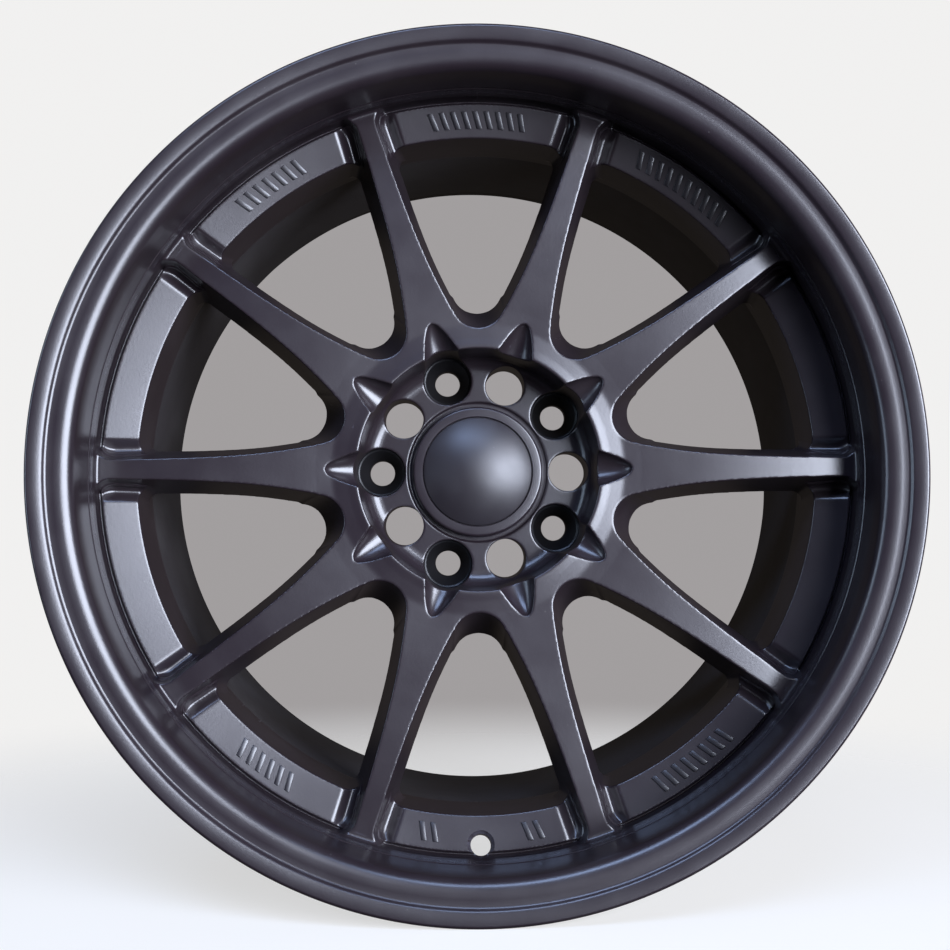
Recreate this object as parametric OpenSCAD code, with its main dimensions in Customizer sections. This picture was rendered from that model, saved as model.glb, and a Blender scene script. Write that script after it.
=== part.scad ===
// Ten-spoke forged racing wheel rim with a snap-in centre cap.
// The wheel's axis lies along Y with the street side towards -Y and +Z up.
// The origin is the centre of the hub's mounting face.
// Inside each sub-part the axis is z, and "depth" counts back from the front flange face.

/* [Rim] */
// Bead seat diameter, the nominal rim diameter
bead_d = 436.6; // [380:0.1:540]
// Width between the two flanges
rim_w = 241.3; // [215:0.1:300]
// Height of the flanges over the bead seats
flange_h = 17.5; // [15:0.5:20]
// Thickness of each flange at its edge
flange_t = 6.5; // [5:0.5:8]
// Wall under the bead seats
lip_wall = 5.3; // [4:0.1:7]
// Wall of the barrel
barrel_wall = 4.2; // [3.5:0.1:7]
// Drop from the bead seats down to the barrel
well_drop = 20.8; // [17:0.1:23]

/* [Ledge] */
// Depth of the ledge pads' outer edge behind the front flange
ledge_depth = 55; // [50:1:60]
// How much deeper the pads' inner edge lies than their outer edge
ledge_fall = 6; // [3:0.5:8]
// Height of each pad over the ledge floor
pad_h = 5.5; // [3:0.5:7]
// Distance from a spoke's centreline to the foot of the next pad's flank
pad_gap = 14; // [12:0.5:17]
// Diameter of the valve hole
valve_d = 11.5; // [8:0.1:13]

/* [Spokes] */
// Number of spokes
spoke_n = 10; // [10]
// Width of a spoke's front face at the rim
spoke_tip_w = 11; // [9:0.1:16]
// Extra width of the front face where it leaves the hub
spoke_root_flare = 17.4; // [8:0.1:20]
// Width of a spoke's back at the rim
spoke_back_w = 24.8; // [20:0.1:28]
// Depth of the spokes' front face at the rim
spoke_tip_depth = 47; // [44:0.5:49]
// Depth of the spokes' back at the rim
spoke_tip_back = 83; // [76:1:88]

/* [Hub] */
// Depth of the mounting face behind the front flange
mount_depth = 111; // [104:1:130]
// Radius at which the spokes leave the hub
hub_r = 92; // [88:0.5:98]
// Radius of the ridge around the lug recess
ridge_r = 69.6; // [67:0.1:72]
// Depth of the hub's face beside the spokes
hub_face_depth = 55.5; // [53:0.5:60]
// Depth of the recess floor that holds the lug seats
floor_depth = 90; // [86:0.5:93]
// Length of the pointed flutes outside the ridge
flute_l = 17.5; // [10:0.5:18]
// Width of the flutes at the ridge
flute_w = 18; // [10:0.5:19]
// Diameter of the centre bore
bore_d = 73.1; // [64:0.1:74]
// Length of the centre bore
bore_l = 14; // [10:0.5:15]

/* [Lug pattern] */
// Number of lug holes
lug_n = 5; // [5]
// Pitch circle diameter of the lug holes
lug_pcd = 114.3; // [112:0.1:118]
// Diameter of the lug holes
lug_d = 15; // [12:0.1:16]
// Diameter of the pockets in front of the lug seats
pocket_d = 28.5; // [26:0.1:30]
// Depth of the pockets below the recess floor
pocket_l = 4.5; // [3:0.5:7]
// Diameter of the lightening holes between the lugs
light_d = 23.2; // [18:0.1:26]
// Radius on which the lightening holes lie
light_r = 54; // [53:0.1:56]

/* [Centre cap] */
// Diameter of the cap's dome
cap_d = 64; // [58:0.1:66]
// Height of the dome
cap_dome_h = 9.5; // [5:0.5:12]
// Wall of the cap
cap_wall = 2.2; // [1.6:0.1:3]
// Radial gap between the dome and its seat
cap_gap = 0.4; // [0.3:0.05:0.6]
// Radial gap between the cap's barbs and the cap bore
barb_gap = 0.3; // [0.3:0.05:0.5]
// Number of snap legs
leg_n = 6; // [4:1:8]
// Diameter of the spring ring's wire
wire_d = 1.8; // [1.2:0.1:2]

/* [Hidden] */
$fn = 96;

// Rim radii and depths
bead_r = bead_d / 2;
flange_r = bead_r + flange_h;
lip_r = bead_r - lip_wall;
well_r = bead_r - well_drop;
barrel_r = well_r - barrel_wall;
rim_depth = rim_w + 2 * flange_t;
flange_foot = 13;
lip_end = 45;
groove_w = 1.7;
groove_r = lip_r + 1.3;
pad_r = groove_r - groove_w;
pad_edge = 1;
band_r = groove_r + 0.4;
band_top = lip_end + 3;
ledge_floor = ledge_depth + pad_h;
ledge_end = ledge_depth + ledge_fall + 12;
seat_l = 42;
taper_l = 34;
hump_h = 0.8;

// Spokes: the front face falls from the hub to the rim, and the back falls less
step_a = 360 / spoke_n;
root_back = floor_depth - 2;
flare_run = 36;
back_flare = 28;
back_flare_run = 22;
face_bow = 1.6;
spoke_end_r = barrel_r + 10;
flare_half = 14;
flare_lift = 3;
reach = flange_r + 20;

// Hub
hub_run = spoke_end_r - hub_r;
ridge_lift = 3;
dish_r = ridge_r - 3;
dish_fillet = 9;
window_end_r = 15;
window_lean = 23.7;
window_apex_r = hub_r - 11;
plate_foot_r = 75;
boss_r = 38.2;
boss_groove_w = 3.1;
boss_groove_h = 1.5;
boss_h = 6;
seat_cone_r = 13;
valve_chamfer = 1.9;

// Centre cap
seat_r = cap_d / 2 + cap_gap;
cap_bore_r = cap_d / 2 - 1.4;
cap_rim_h = 2.6;
cap_seat_gap = 0.1;
leg_t = 1.7;
leg_l = 10;
barb_h = 3;
barb_out = 1;
leg_slot_w = 5;
nib = 0.9;

// Raised marks: local angle of the pad, number of bars, shift along the pad
bar_w = 3;
bar_l = 10;
bar_pitch = 6.4;
bar_slant = 16;
bar_h = 0.7;
mark_r = lip_r - 10;
mark_rows = [[270, 9, 0], [234, 7, 0], [306, 10, 0], [54, 8, 0], [126, 6, 0], [90, 2, 8.2], [90, 2, -8.2]];

function z_at(depth) = depth - mount_depth;
function flat(points) = [for (p = points) [p[0], z_at(p[1])]];
function arc(cx, cy, r, a0, a1, n) =
    [for (i = [0 : n]) let (a = a0 + (a1 - a0) * i / n) [cx + r * cos(a), cy + r * sin(a)]];
function pad_depth(r) = ledge_depth + ledge_fall * (pad_r - r) / (pad_r - barrel_r);
function floor_at(r) = ledge_floor + ledge_fall * (band_r - r) / (band_r - barrel_r);
function front_half(r) = spoke_tip_w / 2 + spoke_root_flare / 2 * exp(-(r - hub_r) / flare_run);
function back_half(r) = spoke_back_w / 2 + back_flare / 2 * exp(-(r - hub_r) / back_flare_run);
function front_depth(r) = spoke_tip_depth
    + (hub_face_depth - 1 - spoke_tip_depth) * pow(max(0, (spoke_end_r - r) / hub_run), face_bow);
function back_depth(r) = spoke_tip_back + (root_back - spoke_tip_back) * (spoke_end_r - r) / hub_run;

module stand() {
    rotate([-90, 0, 0]) children();
}

module ring(points) {
    rotate_extrude() polygon(flat(points));
}

module around(n, first = 0) {
    for (i = [0 : n - 1]) rotate(first + i * 360 / n) children();
}

// Wedge of one spoke's share of the wheel, with the spoke on its middle line.
module tenth() {
    translate([0, 0, z_at(0)]) linear_extrude(rim_depth) polygon([
        [0, 0], reach * [cos(step_a / 2), -sin(step_a / 2)],
        [reach, 0], reach * [cos(step_a / 2), sin(step_a / 2)]
    ]);
}

// Rolled flange: a rounded outer edge, a narrow flat face and a shallow roll into the lip wall.
module flange_profile_ring() {
    ring(concat(
        [[lip_r, flange_foot], [lip_r, 10]],
        [[lip_r + 1.2, 7.4], [lip_r + 4, 5.2], [lip_r + 8.5, 4.2], [flange_r - 10, 3.6]],
        [[flange_r - 8.2, 1.4], [flange_r - 7.6, 0.2], [flange_r - 7.2, 0]],
        arc(flange_r - 2, 2, 2, -90, 0, 6),
        [[flange_r, flange_t - 2]],
        arc(flange_r - 2, flange_t - 2, 2, 0, 90, 6),
        arc(bead_r + 7.5, flange_foot + 1, 7.5, -90, -180, 8),
        [[bead_r, flange_foot + 1], [bead_r, flange_foot]]
    ));
}

module front_flange() {
    color("#2b2a2e") stand() difference() {
        flange_profile_ring();
        translate([0, 0, z_at(flange_foot)]) cylinder(r = reach, h = flange_t);
    }
}

// Deep outer lip under the front bead seat.
module front_bead_seat() {
    color("#2b2a2e") stand() ring([
        [lip_r, flange_foot], [bead_r, flange_foot],
        [bead_r - 0.4, 34], [bead_r - 0.4 + hump_h, 38], [bead_r - 0.4, 42],
        [bead_r - 0.4, lip_end], [lip_r, lip_end]
    ]);
}

module barrel() {
    color("#232226") stand() ring([
        [barrel_r, ledge_end], [well_r, ledge_end],
        [well_r, rim_depth - seat_l - taper_l], [barrel_r, rim_depth - seat_l - taper_l]
    ]);
}

// Rear of the barrel: it opens out to the inner bead seat.
module rear_bead_seat() {
    start = rim_depth - seat_l - taper_l;
    color("#232226") stand() ring([
        [barrel_r, start], [well_r, start],
        [bead_r, rim_depth - seat_l], [bead_r + hump_h, rim_depth - seat_l + 4],
        [bead_r, rim_depth - seat_l + 8], [bead_r, rim_depth - flange_foot],
        [lip_r, rim_depth - flange_foot], [lip_r - 1.5, rim_depth - seat_l + 10]
    ]);
}

module rear_flange() {
    color("#232226") stand() translate([0, 0, 2 * z_at(rim_depth / 2)]) mirror([0, 0, 1])
        difference() {
            flange_profile_ring();
            translate([0, 0, z_at(flange_foot)]) cylinder(r = reach, h = flange_t);
        }
}

// Straight-sided band along a spoke's centreline, wider towards the front.
module pad_band() {
    rotate([90, 0, 90]) linear_extrude(reach) polygon([
        [-pad_gap, z_at(ledge_end)], [pad_gap, z_at(ledge_end)],
        [pad_gap, z_at(ledge_floor + ledge_fall)], [pad_gap + 3, z_at(ledge_depth)],
        [pad_gap + 3, z_at(lip_end)], [-pad_gap - 3, z_at(lip_end)],
        [-pad_gap - 3, z_at(ledge_depth)], [-pad_gap, z_at(ledge_floor + ledge_fall)]
    ]);
}

// One tenth of the ledge between lip and barrel, with its raised pad.
module ledge(turn) {
    under = floor_at(barrel_r) - 0.5;
    color("#2b2a2e") stand() rotate(turn) difference() {
        intersection() {
            ring([
                [lip_r, lip_end], [groove_r, lip_end + 2], [groove_r, ledge_floor - 1.5],
                [pad_r, ledge_floor - 1.5], [pad_r, ledge_depth + pad_edge],
                [pad_r - pad_edge, pad_depth(pad_r - pad_edge)], [barrel_r, pad_depth(barrel_r)],
                [barrel_r, ledge_end], [well_r, ledge_end], [bead_r - 1, under],
                [bead_r - 0.4, under - 1.5], [bead_r - 0.4, lip_end]
            ]);
            tenth();
        }
        for (side = [-1, 1]) intersection() {
            rotate(side * step_a / 2) pad_band();
            ring([
                [0, band_top], [band_r, band_top], [band_r, ledge_floor],
                [barrel_r - 10, floor_at(barrel_r - 10)], [0, floor_at(barrel_r - 10)]
            ]);
        }
    }
}

// Axis square to the ledge, through the middle of the pad.
module valve_hole(turn) {
    lean = atan(ledge_fall / (pad_r - barrel_r));
    valve_r = pad_r - 4.6;
    stand() rotate(turn) translate([valve_r, 0, z_at(pad_depth(valve_r))]) rotate([0, lean, 0]) {
        translate([0, 0, -10]) cylinder(d = valve_d, h = 40);
        translate([0, 0, -0.5]) cylinder(r1 = valve_d / 2 + valve_chamfer + 0.5, r2 = valve_d / 2, h = 2.4);
    }
}

module valve_ledge(turn) {
    color("#2b2a2e") difference() {
        ledge(turn);
        valve_hole(turn);
    }
}

// Cross-section of a spoke at one radius, as a thin slice.
module spoke_slice(r) {
    translate([r, 0, 0]) rotate([90, 0, 90]) linear_extrude(0.02) polygon([
        [-front_half(r), z_at(front_depth(r))], [front_half(r), z_at(front_depth(r))],
        [back_half(r), z_at(back_depth(r))], [-back_half(r), z_at(back_depth(r))]
    ]);
}

// Foot of the spoke where it spreads onto the lip wall.
module spoke_foot_slice() {
    translate([reach - 15, 0, 0]) rotate([90, 0, 90]) linear_extrude(0.02) polygon([
        [-flare_half - 8, z_at(spoke_tip_depth - flare_lift)], [flare_half + 8, z_at(spoke_tip_depth - flare_lift)],
        [back_half(reach), z_at(spoke_tip_back)], [-back_half(reach), z_at(spoke_tip_back)]
    ]);
}

module spoke(turn) {
    stations = [hub_r - 4, hub_r + 8, hub_r + 22, hub_r + 42, hub_r + 68, spoke_end_r];
    color("#2f2d32") stand() rotate(turn) difference() {
        intersection() {
            union() {
                for (i = [0 : len(stations) - 2]) hull() {
                    spoke_slice(stations[i]);
                    spoke_slice(stations[i + 1]);
                }
                hull() {
                    spoke_slice(spoke_end_r);
                    spoke_foot_slice();
                }
            }
            ring([
                [0, 0], [lip_r, 0], [lip_r, lip_end], [groove_r, lip_end + 2], [groove_r, band_top],
                [band_r, band_top], [band_r, ledge_floor], [barrel_r, floor_at(barrel_r)],
                [barrel_r, mount_depth], [0, mount_depth]
            ]);
        }
        translate([0, 0, z_at(0)]) cylinder(r = hub_r, h = mount_depth + 10);
    }
}

// One tenth of the hub in front of the lug plate: ridge, half of two window ends and a pointed flute.
// Every other tenth holds a lug pocket, and the others a lightening hole.
module hub_tenth(turn, has_lug) {
    face = hub_face_depth;
    hole_at = has_lug ? lug_pcd / 2 : light_r;
    color("#2f2d32") stand() rotate(turn) difference() {
        intersection() {
            ring(concat(
                arc(ridge_r, face - ridge_lift + 1.2, 1.2, -160, -30, 5),
                [[ridge_r + 5, face - 1.2], [ridge_r + 13, face], [hub_r, front_depth(hub_r)]],
                [[hub_r, floor_depth], [dish_r - dish_fillet, floor_depth]],
                arc(dish_r - dish_fillet, floor_depth - dish_fillet, dish_fillet, 90, 0, 6)
            ));
            tenth();
        }
        for (side = [-1, 1]) rotate(side * step_a / 2)
            translate([window_apex_r + window_end_r, 0, z_at(face)]) rotate([0, window_lean, 0])
                cylinder(r = window_end_r, h = 140, center = true);
        flute();
        translate([hole_at, 0, z_at(face - 10)]) cylinder(d = has_lug ? pocket_d : light_d, h = mount_depth);
    }
}

// Pointed flute: a cone lying in the hub's face, with its tip on the spoke's centreline.
module flute() {
    run = flute_l + 8;
    translate([ridge_r + flute_l, 0, z_at(hub_face_depth - 0.6)]) rotate([0, -90, 0])
        cylinder(r1 = 0, r2 = flute_w / 2 * run / flute_l, h = run);
}

// Plate that carries the lug seats and meets the car's hub.
module hub_plate() {
    relief_l = 2;
    relief_r = bore_d / 2 + 0.8;
    seat_end = floor_depth + pocket_l;
    cone_l = (seat_cone_r - lug_d / 2) / tan(30);
    color("#2b2a2e") stand() difference() {
        ring([
            [bore_d / 2, mount_depth], [bore_d / 2, mount_depth - bore_l], [relief_r, mount_depth - bore_l],
            [relief_r, mount_depth - bore_l - relief_l], [cap_bore_r, mount_depth - bore_l - relief_l],
            [cap_bore_r, floor_depth + boss_groove_h], [boss_r + boss_groove_w, floor_depth + boss_groove_h],
            [boss_r + boss_groove_w + 0.4, floor_depth], [hub_r, floor_depth],
            [plate_foot_r, mount_depth - 1], [plate_foot_r - 1, mount_depth]
        ]);
        around(lug_n, 180) translate([lug_pcd / 2, 0, 0]) {
            translate([0, 0, z_at(floor_depth - 5)]) cylinder(d = lug_d, h = mount_depth);
            translate([0, 0, z_at(floor_depth - 5)]) cylinder(d = pocket_d, h = pocket_l + 5);
            translate([0, 0, z_at(seat_end)]) cylinder(r1 = seat_cone_r, r2 = lug_d / 2, h = cone_l);
        }
        around(lug_n) translate([light_r, 0, z_at(floor_depth - 5)]) cylinder(d = light_d, h = mount_depth);
    }
}

// Raised collar around the centre cap.
module cap_boss() {
    top = floor_depth - boss_h;
    color("#2f2d32") stand() ring(concat(
        [[seat_r, top + 0.3], [seat_r + 0.4, top]],
        arc(boss_r - 1.5, top + 1.5, 1.5, -90, 0, 5),
        [[boss_r, floor_depth + boss_groove_h], [cap_bore_r, floor_depth + boss_groove_h]],
        [[cap_bore_r, top + cap_rim_h], [seat_r, top + cap_rim_h]]
    ));
}

module mark_bar() {
    skew = bar_l * sin(bar_slant) / 2;
    translate([0, 0, z_at(ledge_depth - 5)]) linear_extrude(20) polygon([
        [-bar_l / 2, -bar_w / 2 - skew], [bar_l / 2, -bar_w / 2 + skew],
        [bar_l / 2, bar_w / 2 + skew], [-bar_l / 2, bar_w / 2 - skew]
    ]);
}

// Rows of slanted bars raised on the pads.
module pad_marks() {
    bar_a = bar_pitch / mark_r * 180 / PI;
    inner = barrel_r + 1;
    outer = pad_r - pad_edge - 0.5;
    color("#3a383e") stand() intersection() {
        for (row = mark_rows, i = [0 : row[1] - 1])
            rotate(row[0] + row[2] + (i - (row[1] - 1) / 2) * bar_a) translate([mark_r, 0, 0]) mark_bar();
        ring([
            [inner, pad_depth(inner)], [inner, pad_depth(inner) - bar_h],
            [outer, pad_depth(outer) - bar_h], [outer, pad_depth(outer)]
        ]);
    }
}

// Domed cap with its rim and snap legs, moulded in one.
module centre_cap() {
    rim_top = floor_depth - boss_h + 0.2;
    rim_low = floor_depth - boss_h + cap_rim_h - cap_seat_gap;
    r = cap_d / 2;
    ball = (r * r + cap_dome_h * cap_dome_h) / (2 * cap_dome_h);
    half_a = asin(r / ball);
    inner_a = asin((r - cap_wall) / (ball - cap_wall));
    centre = rim_top - cap_dome_h + ball;
    leg_out = cap_bore_r - barb_gap - barb_out;
    leg_end = rim_low + leg_l;
    color("#26262a") stand() {
        ring(concat(
            [for (i = [0 : 10]) let (a = half_a * i / 10) [ball * sin(a), centre - ball * cos(a)]],
            [[r, rim_low], [r - cap_wall, rim_low]],
            [for (i = [0 : 10]) let (a = inner_a * (1 - i / 10), b = ball - cap_wall) [b * sin(a), centre - b * cos(a)]]
        ));
        difference() {
            ring([
                [leg_out - leg_t, rim_low - 2.6], [leg_out, rim_low - 2.6], [leg_out, rim_low], [leg_out, leg_end - barb_h],
                [leg_out + barb_out, leg_end - barb_h + 0.6], [leg_out, leg_end],
                [leg_out - leg_t - nib, leg_end], [leg_out - leg_t - nib, leg_end - 1], [leg_out - leg_t, leg_end - 1.6]
            ]);
            around(leg_n) translate([0, -leg_slot_w / 2, z_at(rim_low)]) cube([reach, leg_slot_w, leg_l + 5]);
        }
    }
}

// Split wire ring that pushes the snap legs outwards.
module cap_spring_ring() {
    rim_low = floor_depth - boss_h + cap_rim_h;
    wire_r = cap_bore_r - barb_gap - barb_out - leg_t - wire_d / 2 - 0.05;
    color("silver") stand() difference() {
        translate([0, 0, z_at(rim_low + leg_l - 3)]) rotate_extrude() translate([wire_r, 0]) circle(d = wire_d, $fn = 32);
        translate([0, -2, z_at(rim_low)]) cube([wire_r + 10, 4, leg_l + 5]);
    }
}

first_ledge = 90;
first_spoke = first_ledge + step_a / 2;

front_flange();
front_bead_seat();
barrel();
rear_bead_seat();
rear_flange();
valve_ledge(first_ledge);  // ledge_01
for (i = [2 : spoke_n]) {
    name = str("ledge_", i < 10 ? "0" : "", i);
    ledge(first_ledge + (i - 1) * step_a);
}
for (i = [1 : spoke_n]) {
    name = str("spoke_", i < 10 ? "0" : "", i);
    spoke(first_spoke + (i - 1) * step_a);
}
for (i = [1 : spoke_n]) {
    name = str("hub_", i < 10 ? "0" : "", i);
    hub_tenth(first_spoke + (i - 1) * step_a, i % 2 == 1);
}
hub_plate();
cap_boss();
pad_marks();
centre_cap();
cap_spring_ring();
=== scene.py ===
"""Ten-spoke forged racing wheel rim with its snap-in centre cap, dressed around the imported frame."""

import logging
import math
from dataclasses import dataclass, field
from enum import Enum
from typing import Callable, Iterable, Optional, Sequence

import bmesh
import bpy
from mathutils import Matrix, Vector


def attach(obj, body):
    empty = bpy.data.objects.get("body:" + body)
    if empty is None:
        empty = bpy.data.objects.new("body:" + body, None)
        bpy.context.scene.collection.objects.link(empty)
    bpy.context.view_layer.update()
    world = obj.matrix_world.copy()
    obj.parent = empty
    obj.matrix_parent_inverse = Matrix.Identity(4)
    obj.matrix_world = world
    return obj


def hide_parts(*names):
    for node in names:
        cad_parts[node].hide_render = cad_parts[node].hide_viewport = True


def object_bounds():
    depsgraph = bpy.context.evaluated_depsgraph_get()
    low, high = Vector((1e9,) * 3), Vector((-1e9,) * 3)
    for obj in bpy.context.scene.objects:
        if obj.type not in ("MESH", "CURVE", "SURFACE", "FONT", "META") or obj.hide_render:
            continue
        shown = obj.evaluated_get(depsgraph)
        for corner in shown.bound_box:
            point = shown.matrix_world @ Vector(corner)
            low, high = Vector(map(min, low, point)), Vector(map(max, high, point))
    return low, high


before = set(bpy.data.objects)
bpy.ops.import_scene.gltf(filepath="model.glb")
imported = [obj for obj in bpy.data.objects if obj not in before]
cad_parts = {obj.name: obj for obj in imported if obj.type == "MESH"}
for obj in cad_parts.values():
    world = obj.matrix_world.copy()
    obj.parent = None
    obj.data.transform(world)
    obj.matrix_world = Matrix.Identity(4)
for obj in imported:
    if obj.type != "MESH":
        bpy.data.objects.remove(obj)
CAD_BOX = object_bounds()

MM = 0.001
TAU = 2 * math.pi
SLIVER = 2e-6
LOG = logging.getLogger("wheel")

Point2 = tuple[float, float]


class Operation(Enum):
    """How one solid works on another."""

    CUT = "DIFFERENCE"
    KEEP = "INTERSECT"


class HubHole(Enum):
    """What a spoke has in line with it in the lug recess."""

    LUG = "lug"
    LIGHTENING = "lightening"


# ---------------------------------------------------------------- bench tools


def clear_selection() -> None:
    """Leaves edit mode and deselects every object."""
    if bpy.context.object and bpy.context.object.mode != "OBJECT":
        bpy.ops.object.mode_set(mode="OBJECT")
    bpy.ops.object.select_all(action="DESELECT")


def focus(obj: bpy.types.Object) -> None:
    """Makes one object the only selected and the active one."""
    clear_selection()
    obj.select_set(True)
    bpy.context.view_layer.objects.active = obj


def edit(obj: bpy.types.Object, pick: Optional[Callable[[bmesh.types.BMFace], bool]] = None) -> None:
    """Enters edit mode with all faces selected, or only those that a test picks.

    Args:
        obj: the mesh object to work on.
        pick: a test on a face; None selects everything.
    """
    focus(obj)
    bpy.ops.object.mode_set(mode="EDIT")
    bpy.ops.mesh.select_mode(type="FACE")
    bpy.ops.mesh.select_all(action="SELECT" if pick is None else "DESELECT")
    if pick is not None:
        mesh = bmesh.from_edit_mesh(obj.data)
        for face in mesh.faces:
            face.select_set(bool(pick(face)))
        bmesh.update_edit_mesh(obj.data)


def done() -> None:
    """Leaves edit mode."""
    bpy.ops.object.mode_set(mode="OBJECT")


def apply_modifier(obj: bpy.types.Object, kind: str, **settings: object) -> None:
    """Adds a modifier, sets it and applies it at once.

    Args:
        obj: the object that gets it.
        kind: the modifier's type.
        settings: the modifier's properties by name.
    """
    modifier = obj.modifiers.new(kind.lower(), kind)
    for key, value in settings.items():
        setattr(modifier, key, value)
    focus(obj)
    bpy.ops.object.modifier_apply(modifier=modifier.name)


def combine(target: bpy.types.Object, tool: bpy.types.Object, operation: Operation) -> None:
    """Works one closed solid on another with an exact boolean, and uses the tool up.

    Args:
        target: the solid that is changed.
        tool: the solid that cuts, keeps or joins; it is removed.
        operation: what the tool does.
    """
    apply_modifier(target, "BOOLEAN", operation=operation.value, object=tool, solver="EXACT")
    bpy.data.objects.remove(tool, do_unlink=True)


def face_out(obj: bpy.types.Object) -> None:
    """Turns all faces of a closed mesh outwards."""
    edit(obj)
    bpy.ops.mesh.normals_make_consistent(inside=False)
    done()


def outline(name: str, points: Sequence[Vector], filled: bool = True) -> bpy.types.Object:
    """Adds a circle primitive with one corner per point and moves its corners onto the points.

    Args:
        name: the object's name.
        points: the outline's corners in order, in metres.
        filled: whether the circle has a face.

    Returns:
        The flat outline.
    """
    clear_selection()
    bpy.ops.mesh.primitive_circle_add(vertices=len(points), fill_type="NGON" if filled else "NOTHING")
    obj = bpy.context.object
    obj.name = name
    for vertex, point in zip(obj.data.vertices, points):
        vertex.co = point
    return obj


def turned(name: str, profile: Sequence[Point2], steps: int, start: float = 0.0,
           sweep: float = TAU) -> bpy.types.Object:
    """Spins a profile round the wheel's axis into a closed solid.

    Args:
        name: the object's name.
        profile: (radius, depth) corners in order, in metres, where depth is the place along Y.
        steps: how many steps the spin takes.
        start: the angle at which the spin starts, anticlockwise as seen from the front.
        sweep: the angle that it turns through.

    Returns:
        The turned solid.
    """
    whole = abs(sweep - TAU) < 1e-6
    points = [Vector((r * math.cos(start), y, r * math.sin(start))) for r, y in profile]
    obj = outline(name, points, filled=not whole)
    edit(obj)
    bpy.ops.mesh.spin(steps=steps, angle=sweep, center=(0, 0, 0), axis=(0, 1, 0))
    bpy.ops.mesh.select_all(action="SELECT")
    bpy.ops.mesh.remove_doubles(threshold=1e-6)
    bpy.ops.mesh.delete_loose()
    bpy.ops.mesh.select_all(action="SELECT")
    bpy.ops.mesh.normals_make_consistent(inside=False)
    done()
    return obj


def drafted(name: str, front: Sequence[Point2], back: Sequence[Point2], y0: float,
            y1: float) -> bpy.types.Object:
    """Extrudes an outline backwards and spreads its far end onto a second outline.

    Args:
        name: the object's name.
        front: (x, z) corners of the near end, in metres.
        back: as many corners for the far end.
        y0: place of the near end along Y.
        y1: place of the far end along Y.

    Returns:
        The closed solid between the two.
    """
    obj = outline(name, [Vector((x, y0, z)) for x, z in front])
    places = dict(zip(front, back))
    edit(obj)
    bpy.ops.mesh.extrude_region_move(TRANSFORM_OT_translate={"value": (0, y1 - y0, 0)})
    done()
    for vertex in obj.data.vertices:
        if abs(vertex.co.y - y1) < 1e-6:
            near = min(places, key=lambda spot: math.dist(spot, (vertex.co.x, vertex.co.z)))
            vertex.co.x, vertex.co.z = places[near]
    face_out(obj)
    return obj


def rod(name: str, radius: float, far_radius: float, start: Vector, end: Vector,
        sides: int = 128) -> bpy.types.Object:
    """Adds a straight or tapered round rod between two points.

    Args:
        name: the object's name.
        radius: radius at the start.
        far_radius: radius at the end.
        start: centre of the near end, in metres.
        end: centre of the far end.
        sides: number of sides.

    Returns:
        The closed rod.
    """
    run = end - start
    clear_selection()
    bpy.ops.mesh.primitive_cone_add(vertices=sides, radius1=radius, radius2=far_radius, depth=run.length)
    obj = bpy.context.object
    obj.name = name
    turn = Vector((0, 0, 1)).rotation_difference(run.normalized()).to_matrix().to_4x4()
    obj.data.transform(Matrix.Translation((start + end) / 2) @ turn)
    return obj


def trim(obj: bpy.types.Object, place: Vector, normal: Vector, fill: bool = True,
         pick: Optional[Callable[[bmesh.types.BMFace], bool]] = None) -> None:
    """Cuts a mesh with a plane and drops what lies on the normal's side.

    Args:
        obj: the mesh object.
        place: a point of the plane.
        normal: the plane's normal, towards what is dropped.
        fill: whether the cut is closed.
        pick: which faces the cut works on; None means all.
    """
    edit(obj, pick)
    bpy.ops.mesh.bisect(plane_co=place, plane_no=normal, use_fill=fill, clear_outer=True, threshold=1e-7)
    done()


def close_gaps(obj: bpy.types.Object) -> None:
    """Merges the slivers a boolean may leave and closes their holes, so that the mesh can be remeshed.

    Args:
        obj: the mesh object.
    """
    mesh = bmesh.new()
    mesh.from_mesh(obj.data)
    bmesh.ops.remove_doubles(mesh, verts=mesh.verts, dist=SLIVER)
    bmesh.ops.dissolve_degenerate(mesh, edges=mesh.edges, dist=SLIVER / 2)
    bmesh.ops.holes_fill(mesh, edges=[edge for edge in mesh.edges if edge.is_boundary], sides=0)
    bmesh.ops.recalc_face_normals(mesh, faces=mesh.faces)
    mesh.to_mesh(obj.data)
    mesh.free()
    obj.data.update()


def turned_copy(source: bpy.types.Object, name: str, angle: float) -> bpy.types.Object:
    """Copies a piece with its own mesh, turned round the wheel's axis.

    Args:
        source: the piece to copy.
        name: the copy's name.
        angle: anticlockwise angle as seen from the front.

    Returns:
        The copy, with its place in its mesh.
    """
    copy = source.copy()
    copy.data = source.data.copy()
    copy.name = name
    bpy.context.scene.collection.objects.link(copy)
    copy.data.transform(Matrix.Rotation(-angle, 4, "Y"))
    return copy


def merge(name: str, parts: Sequence[bpy.types.Object]) -> bpy.types.Object:
    """Joins several meshes into one object."""
    clear_selection()
    for part in parts:
        part.select_set(True)
    bpy.context.view_layer.objects.active = parts[0]
    bpy.ops.object.join()
    parts[0].name = name
    return parts[0]


def smooth(obj: bpy.types.Object, angle: float = 40.0) -> None:
    """Shades a piece smooth except where its faces meet at more than an angle in degrees."""
    focus(obj)
    bpy.ops.object.shade_smooth_by_angle(angle=math.radians(angle))


def arc(cx: float, cy: float, radius: float, first: float, last: float, count: int) -> list[Point2]:
    """Points along a circular arc.

    Args:
        cx: centre's first coordinate.
        cy: centre's second coordinate.
        radius: the arc's radius.
        first: start angle in degrees.
        last: end angle in degrees.
        count: number of steps.

    Returns:
        The points, ends included.
    """
    angles = [math.radians(first + (last - first) * i / count) for i in range(count + 1)]
    return [(cx + radius * math.cos(a), cy + radius * math.sin(a)) for a in angles]


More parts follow.
